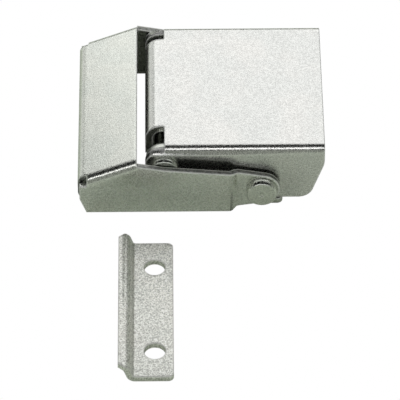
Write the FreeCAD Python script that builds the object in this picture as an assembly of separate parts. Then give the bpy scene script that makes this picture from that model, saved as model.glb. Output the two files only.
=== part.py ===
import FreeCAD, Part
import math
import os

# Box-type toggle latch with its keeper, in millimetres.
# Frame: the mounting plane is Z = 0 with +Z up, +X runs to the lever's free end, and the
# origin is midway between the two screws of the base bracket.

# ---- sheet metal ----
LEVER_SHEET = 2.0
HOOK_SHEET = 1.6
PLATE = 1.6             # base bracket and keeper
BEND_IN = 0.2           # inside radius of a sharp fold

# ---- screws ----
SCREW_HOLE = 5.5        # clearance hole for an M5 screw
SCREW_PITCH = 30.0      # across the latch, the same on the base and on the keeper

# ---- pins ----
PIN_D = 5.0
PIN_RUNNING = 0.05      # radial clearance where a pin turns
HEAD_RIM = 1.5          # head beyond the shaft, all round
PIVOT_HEAD_T = 1.5
HOOK_HEAD_T = 2.0
HEAD_CHAMFER = 0.3
HEAD_GAP = 0.1          # under each head
DIMPLE_D = 1.6          # centre mark in the spun head
DIMPLE_DEEP = 0.35

# ---- places of the two pin axes ----
SCREWS_TO_PIVOT = 13.0  # the screws stand this far behind the pivot
PIVOT_Z = 12.6
HOOK_PIN_BEHIND = 25.75 # hook pin behind the pivot, lever closed
HOOK_PIN_Z = 7.05

# ---- base bracket ----
EAR_SPAN = 42.8         # over the outside of the two ears
EAR_RIM = 2.3           # ear beyond the pivot pin's bore
EAR_TOP_LENGTH = 6.5    # level top of an ear, behind the pivot
EAR_FOOT = 9.0          # where the ear's sloping back edge meets the plate
BASE_FRONT = 4.0        # plate ahead of the pivot
BASE_BACK = 31.4        # plate behind the pivot
WING_OUT = 3.3          # plate behind the ears, beyond each ear's outer face
RELIEF = 1.5            # slot between an ear's fold and the wing
RELIEF_R = 0.5          # inner corner of the slot
WING_CORNER_R = 0.75    # wing's corner beside the slot
CORNER_R = 1.5          # plate's other corners

# ---- lever ----
EAR_TO_LEVER = 1.1      # side gap, ear to lever flange
EAR_TOP_GAP = 0.15      # closed lever above the ears
LEVER_REACH = 42.3      # free end behind the pivot
LEVER_FLANGE_GAP = 0.45 # closed flange above the base plate
CURL_TO_PIN = 0.47      # curled tongue ahead of the pivot pin
CURL_IN = 2.3           # inside radius of the curl
TONGUE_DROP = 9.5       # tongue below the lever's top
TONGUE_FRONT = -15.5
TONGUE_BACK = 19.1
NOTCH_BEHIND = 0.1      # notches end this far behind the pivot
NOSE_BELOW_TOP = 1.35   # flange nose below the lever's top
NOSE_R = 4.0
END_UPRIGHT = 5.5       # upright part of the flange's free end
END_SLANT_DEG = 18.0
END_BLEND_R = 8.0
END_CORNER_R = 4.0

# ---- draw hook ----
LEVER_TO_ARM = 0.75     # side gap, lever flange to the arm's narrow end
HEAD_TO_ARM = 0.35      # side gap, pivot pin head to the arm's wide part
RIDGE_GAP = 2.15        # hook's ridge ahead of the lever's curl
RIDGE_BELOW_TOP = 2.05  # ridge below the lever's top
SLOPE_RUN = 15.73       # ridge to claw, along X
SLOPE_DEG = 23.0
SIDE_FOLD_OUT = 2.5     # outside radius of the two side folds
CLAW_BEND_IN = 1.0      # inside radius where the claw is folded down
LEAN_Z = 5.15           # the claw leans inwards below this height
LEAN_RUN = 2.2
HOOK_BOTTOM_Z = 0.3
FLANGE_INSET = 0.45     # side flange's front edge behind the claw's outer face
CLAW_SLIT = 0.65        # slit between the claw and a side flange
CORNER_NOTCH = 2.4      # notch at the flange's corner, along X
CORNER_NOTCH_Z = 9.4
ARM_RIM = 2.25          # arm's round end beyond the hook pin's bore
JOGGLE_START = 17.8     # behind the pivot
JOGGLE_RUN = 1.5
JOGGLE_IN = 1.0
STEP_RUN = 1.2          # step in the arm's bottom edge at the joggle
STEP_RISE = 0.85
ARM_TOP_AT_RIDGE = 16.5
ARM_TOP_AT_PIVOT = 15.1
ARM_TOP_AT_JOGGLE = 13.4

# ---- keeper ----
KEEPER_LENGTH = 48.0
KEEPER_FLAT = 9.8       # level plate with the screw holes
KEEPER_HOLE_IN = 4.83   # hole centres from the plate's straight edge
KEEPER_RISE = 3.8
RISER_DEG = 72.0
KEEPER_BEND_IN = 0.7
LIP_FLAT = 1.0
LIP_CORNER = 1.3        # lip's corners cut back along Y
KEEPER_EDGE_BEHIND = 2.2  # straight edge behind the pivot axis, at rest
KEEPER_MID_Y = -65.2    # keeper's middle, lying in front of the latch

# ---- worked out from the above ----
PIVOT_X = -SCREWS_TO_PIVOT
HOOK_PIN_X = PIVOT_X + HOOK_PIN_BEHIND
PIN_R = PIN_D / 2
HEAD_R = PIN_R + HEAD_RIM
EAR_R = PIN_R + EAR_RIM
ARM_R = PIN_R + ARM_RIM
EAR_OUT = EAR_SPAN / 2
WING_HALF = EAR_OUT + WING_OUT
LEVER_IN = EAR_OUT + EAR_TO_LEVER
LEVER_OUT = LEVER_IN + LEVER_SHEET
LEVER_UNDER_Z = PIVOT_Z + EAR_R + EAR_TOP_GAP
LEVER_TOP_Z = LEVER_UNDER_Z + LEVER_SHEET
LEVER_NOSE_X = PIVOT_X - PIN_R - CURL_TO_PIN - LEVER_SHEET
LEVER_BOTTOM_Z = PLATE + LEVER_FLANGE_GAP
PIVOT_HEAD_Y = LEVER_OUT + HEAD_GAP
NARROW_IN = LEVER_OUT + LEVER_TO_ARM
NARROW_OUT = NARROW_IN + HOOK_SHEET
WIDE_IN = PIVOT_HEAD_Y + PIVOT_HEAD_T + HEAD_TO_ARM
WIDE_OUT = WIDE_IN + HOOK_SHEET
HOOK_HEAD_Y = NARROW_OUT + HEAD_GAP
RIDGE_X = LEVER_NOSE_X - RIDGE_GAP
RIDGE_Z = LEVER_TOP_Z - RIDGE_BELOW_TOP
CLAW_X = RIDGE_X - SLOPE_RUN
CLAW_TOP_Z = RIDGE_Z - SLOPE_RUN * math.tan(math.radians(SLOPE_DEG))
CLAW_HALF = WIDE_IN - CLAW_SLIT
KEEPER_EDGE_X = PIVOT_X + KEEPER_EDGE_BEHIND
FAR = 200.0             # past every edge of the latch


# ---------------------------------------------------------------- outlines
def unit(a, b):
    length = math.hypot(b[0] - a[0], b[1] - a[1])
    return ((b[0] - a[0]) / length, (b[1] - a[1]) / length)


def corner_arc(before, here, after, radius):
    """Start, middle and end of the arc that rounds the corner at here."""
    back = unit(here, before)
    on = unit(here, after)
    half = math.acos(max(-1.0, min(1.0, back[0] * on[0] + back[1] * on[1]))) / 2
    reach = radius / math.tan(half)
    start = (here[0] + back[0] * reach, here[1] + back[1] * reach)
    end = (here[0] + on[0] * reach, here[1] + on[1] * reach)
    middle_way = unit((0, 0), (back[0] + on[0], back[1] + on[1]))
    to_arc = radius / math.sin(half) - radius
    middle = (here[0] + middle_way[0] * to_arc, here[1] + middle_way[1] * to_arc)
    return start, middle, end


def face(corners, place):
    """Flat face with straight sides; a corner (a, b, radius) is rounded."""
    edges = []
    stretches = []
    count = len(corners)
    for i, corner in enumerate(corners):
        radius = corner[2] if len(corner) > 2 else 0.0
        if radius > 0:
            stretches.append(corner_arc(corners[i - 1], corner, corners[(i + 1) % count], radius))
        else:
            stretches.append((corner, None, corner))
    for i, (start, middle, end) in enumerate(stretches):
        if middle:
            edges.append(Part.Arc(place(*start[:2]), place(*middle), place(*end[:2])).toShape())
        onward = stretches[(i + 1) % count][0]
        if math.hypot(onward[0] - end[0], onward[1] - end[1]) > 1e-6:
            edges.append(Part.LineSegment(place(*end[:2]), place(*onward[:2])).toShape())
    return Part.Face(Part.Wire(edges))


def side_prism(corners, low_y, high_y):
    """Outline in X and Z, carried along Y."""
    profile = face(corners, lambda x, z: FreeCAD.Vector(x, low_y, z))
    return profile.extrude(FreeCAD.Vector(0, high_y - low_y, 0))


def plan_prism(corners, low_z, high_z):
    """Outline in X and Y, carried along Z."""
    profile = face(corners, lambda x, y: FreeCAD.Vector(x, y, low_z))
    return profile.extrude(FreeCAD.Vector(0, 0, high_z - low_z))


def end_prism(corners, low_x, high_x):
    """Outline in Y and Z, carried along X."""
    profile = face(corners, lambda y, z: FreeCAD.Vector(low_x, y, z))
    return profile.extrude(FreeCAD.Vector(high_x - low_x, 0, 0))


def strip(path, thickness, inside, left=True):
    """Corners of a bent strip: one face follows the path, the metal is to its left or right."""
    turn = 1 if left else -1
    near = []
    far = []
    last = len(path) - 1
    for i, point in enumerate(path):
        ahead = unit(point, path[i + 1]) if i < last else unit(path[i - 1], point)
        behind = unit(path[i - 1], point) if i > 0 else ahead
        normal_1 = (-behind[1] * turn, behind[0] * turn)
        normal_2 = (-ahead[1] * turn, ahead[0] * turn)
        spread = 1 + normal_1[0] * normal_2[0] + normal_1[1] * normal_2[1]
        offset_a = (normal_1[0] + normal_2[0]) / spread * thickness
        offset_b = (normal_1[1] + normal_2[1]) / spread * thickness
        cross = (behind[0] * ahead[1] - behind[1] * ahead[0]) * turn
        outside = inside + thickness
        near_r = 0.0 if abs(cross) < 1e-9 else outside if cross > 0 else inside
        far_r = 0.0 if abs(cross) < 1e-9 else inside if cross > 0 else outside
        near.append((point[0], point[1], near_r))
        far.append((point[0] + offset_a, point[1] + offset_b, far_r))
    return near + far[::-1]


def cross_bar(x, z, radius, low_y, high_y):
    """Round bar along Y."""
    start = FreeCAD.Vector(x, low_y, z)
    return Part.makeCylinder(radius, high_y - low_y, start, FreeCAD.Vector(0, 1, 0))


def tangent_point(point, centre, radius, upper):
    """Where the line from a point touches a circle, on its upper or lower side."""
    away = math.hypot(point[0] - centre[0], point[1] - centre[1])
    heading = math.atan2(point[1] - centre[1], point[0] - centre[0])
    swing = math.acos(radius / away) * (-1 if upper else 1)
    angle = heading + swing
    return (centre[0] + radius * math.cos(angle), centre[1] + radius * math.sin(angle))


def both_sides(shape):
    """A shape and its mirror image across the latch's middle plane."""
    return [shape, shape.mirror(FreeCAD.Vector(0, 0, 0), FreeCAD.Vector(0, 1, 0))]


def joined(shapes):
    return shapes[0].multiFuse(shapes[1:]).removeSplitter()


# ---------------------------------------------------------------- base bracket
def ears():
    """Two ears folded up from one piece of the plate, round over the pivot pin."""
    channel = strip(
        [(-EAR_OUT, FAR), (-EAR_OUT, 0), (EAR_OUT, 0), (EAR_OUT, FAR)], PLATE, BEND_IN)
    fold = end_prism(channel, PIVOT_X - FAR, PIVOT_X + FAR)
    top_z = PIVOT_Z + EAR_R
    flank = side_prism([
        (PIVOT_X - BASE_FRONT, 0),
        (PIVOT_X - BASE_FRONT, PIVOT_Z),
        (PIVOT_X, top_z),
        (PIVOT_X + EAR_TOP_LENGTH, top_z, EAR_RIM),
        (PIVOT_X + EAR_FOOT, 0),
    ], -FAR, FAR)
    crown = cross_bar(PIVOT_X, PIVOT_Z, EAR_R, -FAR, FAR)
    return fold.common(joined([flank, crown]))


def base_plate():
    """Plate behind the ears, wider than them, with a relief slot at each fold."""
    ear_in = EAR_OUT - PLATE
    start = PIVOT_X + EAR_FOOT
    relief_end = start + RELIEF
    back = PIVOT_X + BASE_BACK
    half = [
        (back, WING_HALF, CORNER_R),
        (relief_end, WING_HALF, WING_CORNER_R),
        (relief_end, ear_in - RELIEF, RELIEF_R),
        (start - PLATE, ear_in - RELIEF),
    ]
    mirrored = [(corner[0], -corner[1]) + corner[2:] for corner in half[::-1]]
    return plan_prism(half + mirrored, 0, PLATE)


def base_bracket():
    body = joined([ears(), base_plate()])
    body = body.cut(cross_bar(PIVOT_X, PIVOT_Z, PIN_R, -FAR, FAR))
    for y in (-SCREW_PITCH / 2, SCREW_PITCH / 2):
        body = body.cut(Part.makeCylinder(SCREW_HOLE / 2, PLATE, FreeCAD.Vector(0, y, 0)))
    return body


# ---------------------------------------------------------------- lever
def lever_side():
    """Outline of the lever seen from the side, without the notches."""
    end_x = PIVOT_X + LEVER_REACH
    slant_top_z = LEVER_TOP_Z - END_UPRIGHT
    slant_run = (slant_top_z - LEVER_BOTTOM_Z) * math.tan(math.radians(END_SLANT_DEG))
    nose = PIVOT_X - LEVER_NOSE_X
    return [
        (LEVER_NOSE_X, LEVER_BOTTOM_Z, nose),
        (LEVER_NOSE_X, LEVER_TOP_Z),
        (end_x, LEVER_TOP_Z),
        (end_x, slant_top_z, END_BLEND_R),
        (end_x - slant_run, LEVER_BOTTOM_Z, END_CORNER_R),
    ]


def lever_section(low_x, high_x):
    """The folded channel with its two flanges, endless downwards."""
    corners = strip([
        (-LEVER_OUT, -FAR),
        (-LEVER_OUT, LEVER_TOP_Z),
        (LEVER_OUT, LEVER_TOP_Z),
        (LEVER_OUT, -FAR),
    ], LEVER_SHEET, BEND_IN, left=False)
    return end_prism(corners, low_x, high_x)


def lever_channel():
    """Top and both flanges, from the notches to the free end."""
    channel = lever_section(PIVOT_X + NOTCH_BEHIND, PIVOT_X + LEVER_REACH)
    return channel.common(side_prism(lever_side(), -FAR, FAR))


def lever_nose():
    """One flange's rounded nose, which carries the pivot pin clear of the notch."""
    nose_r = PIVOT_X - LEVER_NOSE_X
    nose_z = LEVER_TOP_Z - NOSE_BELOW_TOP
    outline = side_prism([
        (LEVER_NOSE_X, LEVER_BOTTOM_Z, nose_r),
        (LEVER_NOSE_X, nose_z, NOSE_R),
        (PIVOT_X + LEVER_SHEET, nose_z),
        (PIVOT_X + LEVER_SHEET, LEVER_BOTTOM_Z),
    ], LEVER_IN, LEVER_OUT)
    return outline.common(lever_section(LEVER_NOSE_X, PIVOT_X + LEVER_SHEET))


def lever_tongue():
    """Tongue between the notches, curled down ahead of the pivot pin."""
    section = strip([
        (LEVER_NOSE_X, LEVER_TOP_Z - TONGUE_DROP),
        (LEVER_NOSE_X, LEVER_TOP_Z),
        (PIVOT_X + LEVER_SHEET, LEVER_TOP_Z),
    ], LEVER_SHEET, CURL_IN, left=False)
    return side_prism(section, TONGUE_FRONT, TONGUE_BACK)


def lever():
    body = joined([lever_channel(), lever_tongue()] + both_sides(lever_nose()))
    bore = PIN_R + PIN_RUNNING
    body = body.cut(cross_bar(PIVOT_X, PIVOT_Z, bore, -FAR, FAR))
    return body.cut(cross_bar(HOOK_PIN_X, HOOK_PIN_Z, bore, -FAR, FAR))


# ---------------------------------------------------------------- draw hook
def hook_side():
    """Outline of a side flange and its arm."""
    centre = (HOOK_PIN_X, HOOK_PIN_Z)
    joggle_x = PIVOT_X + JOGGLE_START
    step = (joggle_x + STEP_RUN, HOOK_BOTTOM_Z + STEP_RISE)
    shoulder = (joggle_x, ARM_TOP_AT_JOGGLE)
    low = tangent_point(step, centre, ARM_R, upper=False)
    high = tangent_point(shoulder, centre, ARM_R, upper=True)
    edge_x = CLAW_X + FLANGE_INSET
    arm = side_prism([
        (edge_x, CLAW_TOP_Z),
        (edge_x, LEAN_Z),
        (CLAW_X + LEAN_RUN, HOOK_BOTTOM_Z),
        (joggle_x, HOOK_BOTTOM_Z, STEP_RUN),
        step,
        low,
        centre,
        high,
        shoulder,
        (PIVOT_X, ARM_TOP_AT_PIVOT),
        (RIDGE_X, ARM_TOP_AT_RIDGE),
        (RIDGE_X, RIDGE_Z),
    ], -FAR, FAR)
    round_end = cross_bar(HOOK_PIN_X, HOOK_PIN_Z, ARM_R, -FAR, FAR)
    return joined([arm, round_end])


def hook_fold():
    """Everything under the sloping top, with its two side folds rounded."""
    block = side_prism([
        (CLAW_X, -FAR),
        (CLAW_X, CLAW_TOP_Z),
        (RIDGE_X, RIDGE_Z),
        (RIDGE_X, FAR),
        (FAR, FAR),
        (FAR, -FAR),
    ], -WIDE_OUT, WIDE_OUT)
    folds = []
    for edge in block.Edges:
        xs = sorted(vertex.X for vertex in edge.Vertexes)
        along = len(xs) == 2 and abs(xs[0] - CLAW_X) < 1e-6 and abs(xs[1] - RIDGE_X) < 1e-6
        if along:
            folds.append(edge)
    return block.makeFillet(SIDE_FOLD_OUT, folds)


def hook_arm():
    """One side flange's metal in plan: wide over the pivot head, joggled in to the lever."""
    joggle_x = PIVOT_X + JOGGLE_START
    return plan_prism(strip([
        (CLAW_X, WIDE_OUT),
        (joggle_x, WIDE_OUT),
        (joggle_x + JOGGLE_RUN, NARROW_OUT),
        (HOOK_PIN_X + FAR, NARROW_OUT),
    ], HOOK_SHEET, JOGGLE_IN, left=False), -FAR, FAR)


def hook_top():
    """Sloping top and the claw, one bent strip across the latch."""
    return side_prism(strip([
        (RIDGE_X, RIDGE_Z),
        (CLAW_X, CLAW_TOP_Z),
        (CLAW_X, LEAN_Z),
        (CLAW_X + LEAN_RUN, HOOK_BOTTOM_Z),
    ], HOOK_SHEET, CLAW_BEND_IN), -WIDE_OUT, WIDE_OUT)


def beyond_claw(high_x, low_z, high_z):
    """The spaces past both ends of the claw, from its outer face back to high_x."""
    corner = FreeCAD.Vector(CLAW_X, CLAW_HALF, low_z)
    return Part.makeCompound(both_sides(
        Part.makeBox(high_x - CLAW_X, FAR, high_z - low_z, corner)))


def draw_hook():
    notch_x = CLAW_X + CORNER_NOTCH
    claw_back_x = CLAW_X + LEAN_RUN + 2 * HOOK_SHEET
    past_ridge = Part.makeBox(FAR, 2 * FAR, FAR, FreeCAD.Vector(RIDGE_X, -FAR, 0))
    top = hook_top().cut(past_ridge)
    top = top.cut(beyond_claw(claw_back_x, 0, CORNER_NOTCH_Z))
    side = hook_side()
    body = joined([top] + [arm.common(side) for arm in both_sides(hook_arm())])
    body = body.cut(beyond_claw(notch_x, CORNER_NOTCH_Z, FAR))
    body = body.common(hook_fold())
    bore = PIN_R + PIN_RUNNING
    return body.cut(cross_bar(HOOK_PIN_X, HOOK_PIN_Z, bore, -FAR, FAR))


# ---------------------------------------------------------------- pins
def headed_pin(x, z, under_head, head_t):
    """Pin across the latch with a flat head at each end; the -Y head is spun and dimpled."""
    end = under_head + head_t
    body = cross_bar(x, z, PIN_R, -end, end)
    heads = []
    for low in (-end, under_head):
        head = cross_bar(x, z, HEAD_R, low, low + head_t)
        outer_y = -end if low < 0 else end
        rim = [edge for edge in head.Edges
               if edge.Closed and abs(edge.Curve.Center.y - outer_y) < 1e-6]
        heads.append(head.makeChamfer(HEAD_CHAMFER, rim))
    body = joined([body] + heads)
    ball_r = (DIMPLE_D ** 2 / 4 + DIMPLE_DEEP ** 2) / (2 * DIMPLE_DEEP)
    ball = Part.makeSphere(ball_r, FreeCAD.Vector(x, -end - ball_r + DIMPLE_DEEP, z))
    return body.cut(ball)


# ---------------------------------------------------------------- keeper
def keeper():
    """Strip with two screw holes, stepped up to a lip that the claw pulls on."""
    angle = math.radians(RISER_DEG)
    bend_reach = (KEEPER_BEND_IN + PLATE) * math.tan(angle / 2)
    step_x = KEEPER_EDGE_X - KEEPER_FLAT - bend_reach
    top_x = step_x - KEEPER_RISE / math.tan(angle)
    tip_x = top_x - KEEPER_BEND_IN * math.tan(angle / 2) - LIP_FLAT
    section = strip([
        (KEEPER_EDGE_X, 0),
        (step_x, 0),
        (top_x, KEEPER_RISE),
        (tip_x, KEEPER_RISE),
    ], PLATE, KEEPER_BEND_IN, left=False)
    low_y = KEEPER_MID_Y - KEEPER_LENGTH / 2
    high_y = KEEPER_MID_Y + KEEPER_LENGTH / 2
    body = side_prism(section, low_y, high_y)
    lip_run = LIP_FLAT + KEEPER_BEND_IN
    plan = plan_prism([
        (tip_x, low_y + LIP_CORNER),
        (tip_x + lip_run, low_y),
        (KEEPER_EDGE_X, low_y, CORNER_R),
        (KEEPER_EDGE_X, high_y, CORNER_R),
        (tip_x + lip_run, high_y),
        (tip_x, high_y - LIP_CORNER),
    ], 0, FAR)
    body = body.common(plan)
    for y in (KEEPER_MID_Y - SCREW_PITCH / 2, KEEPER_MID_Y + SCREW_PITCH / 2):
        centre = FreeCAD.Vector(KEEPER_EDGE_X - KEEPER_HOLE_IN, y, 0)
        body = body.cut(Part.makeCylinder(SCREW_HOLE / 2, PLATE, centre))
    return body


# ---------------------------------------------------------------- files
def write(name, shape):
    solids = shape.Solids
    if len(solids) != 1 or not solids[0].isValid():
        raise ValueError(name + " is not one sound solid")
    solids[0].exportStep(os.path.join("parts", name + ".step"))
    box = shape.BoundBox
    print(name, round(shape.Volume, 1), [round(value, 2) for value in (
        box.XMin, box.XMax, box.YMin, box.YMax, box.ZMin, box.ZMax)])


os.makedirs("parts", exist_ok=True)
write("base_bracket", base_bracket())
write("lever", lever())
write("draw_hook", draw_hook())
write("keeper", keeper())
write("pivot_pin", headed_pin(PIVOT_X, PIVOT_Z, PIVOT_HEAD_Y, PIVOT_HEAD_T))
write("hook_pin", headed_pin(HOOK_PIN_X, HOOK_PIN_Z, HOOK_HEAD_Y, HOOK_HEAD_T))
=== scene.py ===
"""Looks of the box-type toggle latch: satin sheet metal, a light table and soft studio light."""
import math

import bmesh
import bpy
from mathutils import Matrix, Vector


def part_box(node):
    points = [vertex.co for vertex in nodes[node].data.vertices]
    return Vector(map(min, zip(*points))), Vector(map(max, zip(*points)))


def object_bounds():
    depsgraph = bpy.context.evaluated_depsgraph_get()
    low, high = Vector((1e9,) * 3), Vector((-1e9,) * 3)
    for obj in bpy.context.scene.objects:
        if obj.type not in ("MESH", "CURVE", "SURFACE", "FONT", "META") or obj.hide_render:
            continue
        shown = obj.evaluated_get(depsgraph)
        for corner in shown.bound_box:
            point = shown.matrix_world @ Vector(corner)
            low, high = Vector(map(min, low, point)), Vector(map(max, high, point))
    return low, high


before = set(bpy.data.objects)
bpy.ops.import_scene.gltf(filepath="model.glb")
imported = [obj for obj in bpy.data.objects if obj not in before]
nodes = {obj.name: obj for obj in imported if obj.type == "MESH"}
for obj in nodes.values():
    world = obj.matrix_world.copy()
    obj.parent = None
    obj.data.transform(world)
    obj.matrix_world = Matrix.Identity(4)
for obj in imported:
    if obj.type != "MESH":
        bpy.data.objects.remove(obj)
cad_low, cad_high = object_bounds()

MM = 0.001

# ---- camera ----
CAMERA_TARGET = Vector((-3.286, 0.0, -22.72)) * MM
CAMERA_DISTANCE = 1.0245
CAMERA_AZIMUTH = 0.604      # degrees, turned from +Y towards +X
CAMERA_ELEVATION = 44.159
CAMERA_LENS = 335.6         # millimetres, on the sensor below
SENSOR = 36.0
NEAREST = 0.05              # clipping
FARTHEST = 20.0

# ---- studio ----
FRONT_WALLS = (0.25, 0.265, 0.235)
BACK_WALLS = (0.34, 0.35, 0.33)
OVERHEAD = (0.006, 0.007, 0.006)
OVERHEAD_FROM = 0.45        # height on the unit sky where the walls start to darken
OVERHEAD_TO = 0.62
BACK_FROM = 0.0             # place on the unit sky, towards +Y, where the back wall starts
BACK_TO = 0.5
BOUNCE = (0.91, 0.975, 0.845)   # grey-green table top that the metal mirrors
TABLE_GLOW = 0.30           # added to the table top towards -X, between these two places
GLOW_FROM_X = -0.035
GLOW_TO_X = -0.12
GLOW_COLOUR = (1.0, 1.0, 0.98, 1.0)
WHITE = (1.0, 1.0, 1.0, 1.0)
TABLE_HALF = 3.0
FLOOR_DROP = 0.02 * MM      # below the latch
TABLE_DROP = 0.03 * MM
BACKDROP_RADIUS = 2.9
LIGHT_DISTANCE = 0.9
UNSEEN = ("glossy", "diffuse", "shadow", "transmission", "volume_scatter")

# ---- grain of the metal, noise cells per metre ----
FINE_SCALE = 2700.0
COARSE_SCALE = 1100.0
CLOUD_SCALE = 85.0
STREAK_SCALE = 900.0
TORN_SCALE = 1500.0
COOL = (0.975, 0.985, 0.975, 1.0)
WARM = (1.02, 1.015, 1.00, 1.0)

# ---- the metal's details: a LIMITS pair is where a mask starts and where it is full,
# ---- and a tone is a share of the metal's own colour ----
DARK_SPECKLE = 0.20
LIGHT_SPECKLE = 0.17
FINE_SHARE = 0.8            # of the speckle; the rest is coarse
SPECKLE_LIMITS = (0.34, 0.66)
TINT_LIMITS = (0.35, 0.65)
ROUGH_LIMITS = (0.25, 0.75)
SMOOTHEST = -0.05           # roughness of the grain, beside the metal's own
ROUGHEST = 0.07
STREAK_ROUGHER = 0.08
CORNER_SHADE_REACH = 1.0 * MM       # painted shade: how far into a corner the darkening reaches
CORNER_SHADE_LIMITS = (0.70, 0.20)
CORNER_SHADE_COVER = 0.75
CORNER_SHADE_TONE = 0.30
EDGE_LIMITS = (0.985, 0.90)     # cosine of the turn that the rounding gives
EDGE_HIGHLIGHT_BREAKUP = (0.30, 0.55, 0.6, 1.0)  # painted highlight broken up by coarse grain: grain from and to, and the edge's share there
# edges painted lighter: a painted highlight along each rounded edge
EDGE_HIGHLIGHT_TONE = 1.32
EDGE_METALLIC = 0.15
EDGE_ROUGHER = 0.22
TORN_LIMITS = (0.3, 0.7)
# a sheared face's colour: partly its own torn finish, partly painted shade
TORN_AND_SHADE_DARK = 0.16
TORN_AND_SHADE_LIGHT = 0.42
TORN_ROUGHER = 0.12
RELIEF = 0.16
RELIEF_HEIGHT = 0.05 * MM
RELIEF_GRIT = 0.6
RELIEF_LINES = 0.4

# ---- where the sheets turn, for the sheared edges ----
RIDGE_X = -20.12 * MM       # the hook's ridge
CLAW_BACK_X = -30.0 * MM    # the claw and its lean lie ahead of this
CLAW_HALF = 25.8 * MM       # end of the claw, from the middle
LEVER_IN = 22.5 * MM        # inner face of a lever flange, from the middle
LEVER_TOP_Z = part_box("lever")[1].z
CLAW_END_IN = 0.35 * MM     # the claw's end is marked from here to there, about CLAW_HALF
CLAW_END_OUT = 0.20 * MM
FOLD_FROM = 0.5 * MM        # below the lever's top, where its flange may look sheared
FOLD_TO = 0.8 * MM
BLEND = 0.05 * MM           # softness of these places
SHEARED_LIMITS = (0.34, 0.12)   # how far an edge's normal may lean sideways
CLAW_END_LIMITS = (0.70, 0.90)
FREE_END_LIMITS = (0.75, 0.92)

# ---- reach of the edges' rounding, which is shading only ----
SHEARED_EDGE = 0.80 * MM
HOOK_EDGE = 0.95 * MM       # the hook is tumbled rounder
TURNED_EDGE = 0.35 * MM     # a pin head's edges

# ---- making flat faces whole ----
WELD_WITHIN = 0.0005 * MM
FLAT_WITHIN = math.radians(0.4)


# ---------------------------------------------------------------- node helpers
def new_tree(owner):
    """The empty node tree of a material or world."""
    owner.use_nodes = True
    tree = owner.node_tree
    tree.nodes.clear()
    return tree


def add(tree, kind, inputs=None, **settings):
    """One node: settings by name, sockets by name or number, fed by a value or an output."""
    node = tree.nodes.new(kind)
    for key, value in settings.items():
        setattr(node, key, value)
    for key, value in (inputs or {}).items():
        if isinstance(value, bpy.types.NodeSocket):
            tree.links.new(value, node.inputs[key])
        else:
            node.inputs[key].default_value = value
    return node


def noise(tree, place, scale, detail=3.0, roughness=0.55):
    node = add(tree, "ShaderNodeTexNoise",
               {"Vector": place, "Scale": scale, "Detail": detail, "Roughness": roughness})
    return node.outputs["Fac"]


def remap(tree, value, low, high, to_low=0.0, to_high=1.0):
    node = add(tree, "ShaderNodeMapRange", {
        "Value": value, "From Min": low, "From Max": high,
        "To Min": to_low, "To Max": to_high}, interpolation_type="SMOOTHSTEP")
    return node.outputs["Result"]


def maths(tree, operation, a, b=0.0):
    return add(tree, "ShaderNodeMath", {0: a, 1: b}, operation=operation).outputs[0]


def weigh(tree, value, weight):
    return maths(tree, "MULTIPLY", value, weight)


def mix_colour(tree, factor, a, b, mode="MIX"):
    """Colour mix; the Mix node has its colour sockets at places 6 and 7."""
    node = tree.nodes.new("ShaderNodeMix")
    node.data_type = "RGBA"
    node.blend_type = mode
    for place, value in ((0, factor), (6, a), (7, b)):
        if isinstance(value, bpy.types.NodeSocket):
            tree.links.new(value, node.inputs[place])
        else:
            node.inputs[place].default_value = value
    return node.outputs[2]


def shade(colour, gain):
    """A plain colour made lighter or darker, with its alpha."""
    return tuple(channel * gain for channel in colour) + (1.0,)


def all_of(tree, *masks):
    result = masks[0]
    for mask in masks[1:]:
        result = maths(tree, "MULTIPLY", result, mask)
    return result


def within(tree, value, low, high, soft):
    """1 between low and high, 0 outside, over a soft edge."""
    rise = remap(tree, value, low - soft, low + soft)
    fall = remap(tree, value, high + soft, high - soft)
    return maths(tree, "MULTIPLY", rise, fall)


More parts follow.
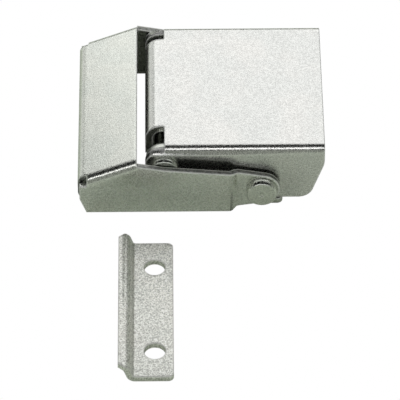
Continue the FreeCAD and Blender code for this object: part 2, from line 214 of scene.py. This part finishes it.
# ---------------------------------------------------------------- metal
def satin_metal(name, colour, roughness, rounding, streak, speckle=1.0, cut=None):
    """Satin metal: speckle, slow cloudiness, rolling streaks, painted shade in corners and painted
    highlights on the rounded edges.

    cut(tree, place, turned) gives where the sheet was sheared, which is rougher and painted
    darker: partly its own torn finish, partly painted shade.
    """
    material = bpy.data.materials.new(name)
    tree = new_tree(material)
    place = add(tree, "ShaderNodeTexCoord").outputs["Object"]
    flat = add(tree, "ShaderNodeNewGeometry").outputs["Normal"]
    fine = noise(tree, place, FINE_SCALE, detail=1.5, roughness=0.6)
    coarse = noise(tree, place, COARSE_SCALE, detail=2.0)
    cloud = noise(tree, place, CLOUD_SCALE, detail=2.0)
    stretched = add(tree, "ShaderNodeMapping", {"Vector": place, "Scale": streak})
    lines = noise(tree, stretched.outputs["Vector"], STREAK_SCALE, detail=2.0)

    # where the surface turns at an edge, which gets a painted highlight
    rounded = add(tree, "ShaderNodeBevel", {"Radius": rounding}, samples=16).outputs["Normal"]
    facing = add(tree, "ShaderNodeVectorMath", {0: rounded, 1: flat},
                 operation="DOT_PRODUCT").outputs["Value"]
    edge_highlight = remap(tree, facing, *EDGE_LIMITS)
    edge_highlight = maths(tree, "MULTIPLY", edge_highlight, remap(tree, coarse, *EDGE_HIGHLIGHT_BREAKUP))

    # where a corner is shut in, which gets painted shade
    open_air = add(tree, "ShaderNodeAmbientOcclusion", {"Distance": CORNER_SHADE_REACH}, samples=6)
    corner = remap(tree, open_air.outputs["AO"], *CORNER_SHADE_LIMITS)

    # colour
    grit = maths(tree, "ADD", weigh(tree, fine, FINE_SHARE), weigh(tree, coarse, 1.0 - FINE_SHARE))
    grit = remap(tree, grit, *SPECKLE_LIMITS)
    darkest = shade(colour, 1.0 - DARK_SPECKLE * speckle)
    lightest = shade(colour, 1.0 + LIGHT_SPECKLE * speckle)
    base = mix_colour(tree, grit, darkest, lightest)
    tint = mix_colour(tree, remap(tree, cloud, *TINT_LIMITS), COOL, WARM)
    base = mix_colour(tree, 1.0, base, tint, mode="MULTIPLY")
    # painted shade in corners: darker where the surface is shut in
    base = mix_colour(tree, weigh(tree, corner, CORNER_SHADE_COVER), base, shade(colour, CORNER_SHADE_TONE))
    # painted highlight along the edges
    base = mix_colour(tree, edge_highlight, base, shade(colour, EDGE_HIGHLIGHT_TONE))

    # roughness
    rough = remap(tree, fine, *ROUGH_LIMITS, roughness + SMOOTHEST, roughness + ROUGHEST)
    off_mean = maths(tree, "SUBTRACT", lines, 0.5)
    rough = maths(tree, "ADD", rough, weigh(tree, off_mean, STREAK_ROUGHER))
    rough = maths(tree, "ADD", rough, weigh(tree, edge_highlight, EDGE_ROUGHER))

    if cut:
        # in the piece's own frame, so that the mask turns with the piece
        turned = add(tree, "ShaderNodeVectorTransform", {0: rounded}, vector_type="NORMAL",
                     convert_from="WORLD", convert_to="OBJECT").outputs[0]
        sheared_and_shaded = cut(tree, place, turned)
        torn_and_shaded = remap(tree, noise(tree, place, TORN_SCALE), *TORN_LIMITS)
        torn_and_shaded = mix_colour(tree, torn_and_shaded, shade(colour, TORN_AND_SHADE_DARK), shade(colour, TORN_AND_SHADE_LIGHT))
        # sheared faces painted darker: their torn finish and painted shade
        base = mix_colour(tree, sheared_and_shaded, base, torn_and_shaded)
        rough = maths(tree, "ADD", rough, weigh(tree, sheared_and_shaded, TORN_ROUGHER))

    # the edges are made less metallic, so that their lightened colour shows as a painted
    # highlight, standing in for light scattered by fine scratches
    metallic = remap(tree, edge_highlight, 0.0, 1.0, 1.0, EDGE_METALLIC)
    height = maths(tree, "ADD", weigh(tree, grit, RELIEF_GRIT), weigh(tree, lines, RELIEF_LINES))
    bump = add(tree, "ShaderNodeBump", {
        "Height": height, "Strength": RELIEF * speckle, "Distance": RELIEF_HEIGHT,
        "Normal": rounded})
    shader = add(tree, "ShaderNodeBsdfPrincipled", {
        "Base Color": base, "Metallic": metallic, "Roughness": rough,
        "Normal": bump.outputs["Normal"]})
    add(tree, "ShaderNodeOutputMaterial", {"Surface": shader.outputs[0]})
    return material


def parts_of(tree, vector):
    return add(tree, "ShaderNodeSeparateXYZ", {0: vector}).outputs


def hook_cut(tree, place, turned):
    """The arms' sheared edges, the sheet's edge along the ridge and the ends of the claw."""
    spot = parts_of(tree, place)
    sideways = maths(tree, "ABSOLUTE", parts_of(tree, turned)["Y"])
    off_middle = maths(tree, "ABSOLUTE", spot["Y"])
    behind_ridge = remap(tree, spot["X"], RIDGE_X - BLEND, RIDGE_X + BLEND)
    arm = all_of(tree, behind_ridge, remap(tree, sideways, *SHEARED_LIMITS))
    claw = all_of(
        tree,
        remap(tree, spot["X"], CLAW_BACK_X + 2 * BLEND, CLAW_BACK_X),
        within(tree, off_middle, CLAW_HALF - CLAW_END_IN, CLAW_HALF + CLAW_END_OUT, BLEND),
        remap(tree, sideways, *CLAW_END_LIMITS))
    return maths(tree, "MAXIMUM", arm, claw)


def lever_cut(tree, place, turned):
    """The flanges' sheared edges below the fold, and the free end."""
    spot = parts_of(tree, place)
    turn = parts_of(tree, turned)
    sideways = maths(tree, "ABSOLUTE", turn["Y"])
    off_middle = maths(tree, "ABSOLUTE", spot["Y"])
    in_flange = remap(tree, off_middle, LEVER_IN, LEVER_IN + 2 * BLEND)
    under_fold = remap(tree, spot["Z"], LEVER_TOP_Z - FOLD_FROM, LEVER_TOP_Z - FOLD_TO)
    flange = all_of(tree, in_flange, under_fold, remap(tree, sideways, *SHEARED_LIMITS))
    free_end = remap(tree, turn["X"], *FREE_END_LIMITS)
    return maths(tree, "MAXIMUM", flange, free_end)


def dress(node, material):
    """A CAD node with its own metal; its flat faces are made whole."""
    thing = nodes[node]
    for place in range(len(thing.material_slots)):
        thing.material_slots[place].material = material
    weld = thing.modifiers.new("weld", "WELD")
    weld.merge_threshold = WELD_WITHIN
    merge = thing.modifiers.new("whole_faces", "DECIMATE")
    merge.decimate_type = "DISSOLVE"
    merge.angle_limit = FLAT_WITHIN
    merge.use_dissolve_boundaries = False


# streak is the noise's scale along each axis; the lines run along the smallest
lever_metal = satin_metal(
    "lever_satin", (0.72, 0.72, 0.707), roughness=0.25, rounding=SHEARED_EDGE,
    streak=(0.12, 1, 1), cut=lever_cut)
hook_metal = satin_metal(
    "hook_satin", (0.68, 0.694, 0.66), roughness=0.24, rounding=HOOK_EDGE,
    streak=(1, 0.12, 1), cut=hook_cut)
keeper_metal = satin_metal(
    "keeper_satin", (0.77, 0.773, 0.735), roughness=0.46, rounding=SHEARED_EDGE,
    streak=(1, 0.12, 1), speckle=2.2)
base_metal = satin_metal(
    "base_satin", (0.68, 0.70, 0.66), roughness=0.34, rounding=SHEARED_EDGE,
    streak=(0.12, 1, 1))
pin_metal = satin_metal(
    "pin_satin", (0.68, 0.70, 0.655), roughness=0.22, rounding=TURNED_EDGE,
    streak=(1, 1, 0.3))

dress("lever", lever_metal)
dress("draw_hook", hook_metal)
dress("keeper", keeper_metal)
dress("base_bracket", base_metal)
dress("pivot_pin", pin_metal)
dress("hook_pin", pin_metal)


# ---------------------------------------------------------------- floor and backdrop
def staged(name, mesh):
    """An object of the stage, with its own empty material tree."""
    thing = bpy.data.objects.new(name, mesh)
    bpy.context.scene.collection.objects.link(thing)
    material = bpy.data.materials.new(name)
    mesh.materials.append(material)
    return thing, new_tree(material)


def level_plane(name, height):
    mesh = bpy.data.meshes.new(name)
    half = TABLE_HALF
    corners = [(-half, -half), (half, -half), (half, half), (-half, half)]
    mesh.from_pydata([(x, y, height) for x, y in corners], [], [(0, 1, 2, 3)])
    return staged(name, mesh)


def for_camera_only(thing, tree):
    """Plain white that lights nothing."""
    glow = add(tree, "ShaderNodeEmission", {"Color": WHITE, "Strength": 1.0})
    add(tree, "ShaderNodeOutputMaterial", {"Surface": glow.outputs[0]})
    for kind in UNSEEN:
        setattr(thing, "visible_" + kind, False)


def light_table():
    """Plain pale floor, over the darker table top that the metal mirrors."""
    for_camera_only(*level_plane("floor", cad_low.z - FLOOR_DROP))
    top, tree = level_plane("table_top", cad_low.z - TABLE_DROP)
    paint = add(tree, "ShaderNodeBsdfDiffuse", {"Color": BOUNCE + (1.0,)})
    place = add(tree, "ShaderNodeTexCoord").outputs["Object"]
    lit = remap(tree, parts_of(tree, place)["X"], GLOW_FROM_X, GLOW_TO_X, 0.0, TABLE_GLOW)
    shine = add(tree, "ShaderNodeEmission", {"Color": GLOW_COLOUR, "Strength": lit})
    surface = add(tree, "ShaderNodeAddShader", {0: paint.outputs[0], 1: shine.outputs[0]})
    add(tree, "ShaderNodeOutputMaterial", {"Surface": surface.outputs[0]})
    top.visible_camera = False


def backdrop():
    """White sweep all round, for views from low down."""
    mesh = bpy.data.meshes.new("backdrop")
    shell = bmesh.new()
    bmesh.ops.create_uvsphere(shell, u_segments=48, v_segments=24, radius=BACKDROP_RADIUS)
    shell.to_mesh(mesh)
    shell.free()
    for_camera_only(*staged("backdrop", mesh))


light_table()
backdrop()


# ---------------------------------------------------------------- light
def heading(azimuth, elevation):
    """Unit vector; azimuth 0 is +Y, behind the latch, and 90 is +X."""
    a = math.radians(azimuth)
    e = math.radians(elevation)
    return Vector((math.sin(a) * math.cos(e), math.cos(a) * math.cos(e), math.sin(e)))


def softbox(name, azimuth, elevation, width, height, radiance):
    """Rectangular light facing the latch, with the brightness its face shows in a mirror."""
    data = bpy.data.lights.new(name, "AREA")
    data.shape = "RECTANGLE"
    data.size = width
    data.size_y = height
    data.energy = radiance * math.pi * width * height
    lamp = bpy.data.objects.new(name, data)
    bpy.context.scene.collection.objects.link(lamp)
    away = heading(azimuth, elevation)
    lamp.location = away * LIGHT_DISTANCE
    lamp.rotation_mode = "QUATERNION"
    lamp.rotation_quaternion = away.to_track_quat("Z", "Y")
    lamp.visible_camera = False


softbox("back_box", 4, 45, 1.30, 0.72, 1.18)
softbox("front_strip", 180, 54, 1.8, 0.19, 2.7)
softbox("left_panel", -44, 9, 0.55, 0.26, 0.50)
softbox("left_strip", -38, 20, 0.40, 0.05, 0.8)


def sky():
    """Grey studio: lighter at the back, and dark overhead."""
    world = bpy.data.worlds.new("studio")
    bpy.context.scene.world = world
    tree = new_tree(world)
    way = parts_of(tree, add(tree, "ShaderNodeTexCoord").outputs["Generated"])
    walls = mix_colour(tree, remap(tree, way["Y"], BACK_FROM, BACK_TO),
                       FRONT_WALLS + (1.0,), BACK_WALLS + (1.0,))
    overhead = remap(tree, way["Z"], OVERHEAD_FROM, OVERHEAD_TO)
    colour = mix_colour(tree, overhead, walls, OVERHEAD + (1.0,))
    light = add(tree, "ShaderNodeBackground", {"Color": colour, "Strength": 1.0})
    add(tree, "ShaderNodeOutputWorld", {"Surface": light.outputs[0]})


sky()


# ---------------------------------------------------------------- camera
def studio_camera():
    data = bpy.data.cameras.new("camera")
    data.sensor_width = SENSOR
    data.lens = CAMERA_LENS
    data.clip_start = NEAREST
    data.clip_end = FARTHEST
    camera = bpy.data.objects.new("camera", data)
    bpy.context.scene.collection.objects.link(camera)
    ahead = heading(CAMERA_AZIMUTH, -CAMERA_ELEVATION)
    camera.location = CAMERA_TARGET - ahead * CAMERA_DISTANCE
    camera.rotation_mode = "QUATERNION"
    camera.rotation_quaternion = ahead.to_track_quat("-Z", "Y")
    bpy.context.scene.camera = camera


studio_camera()
bpy.context.scene.view_settings.view_transform = "Standard"
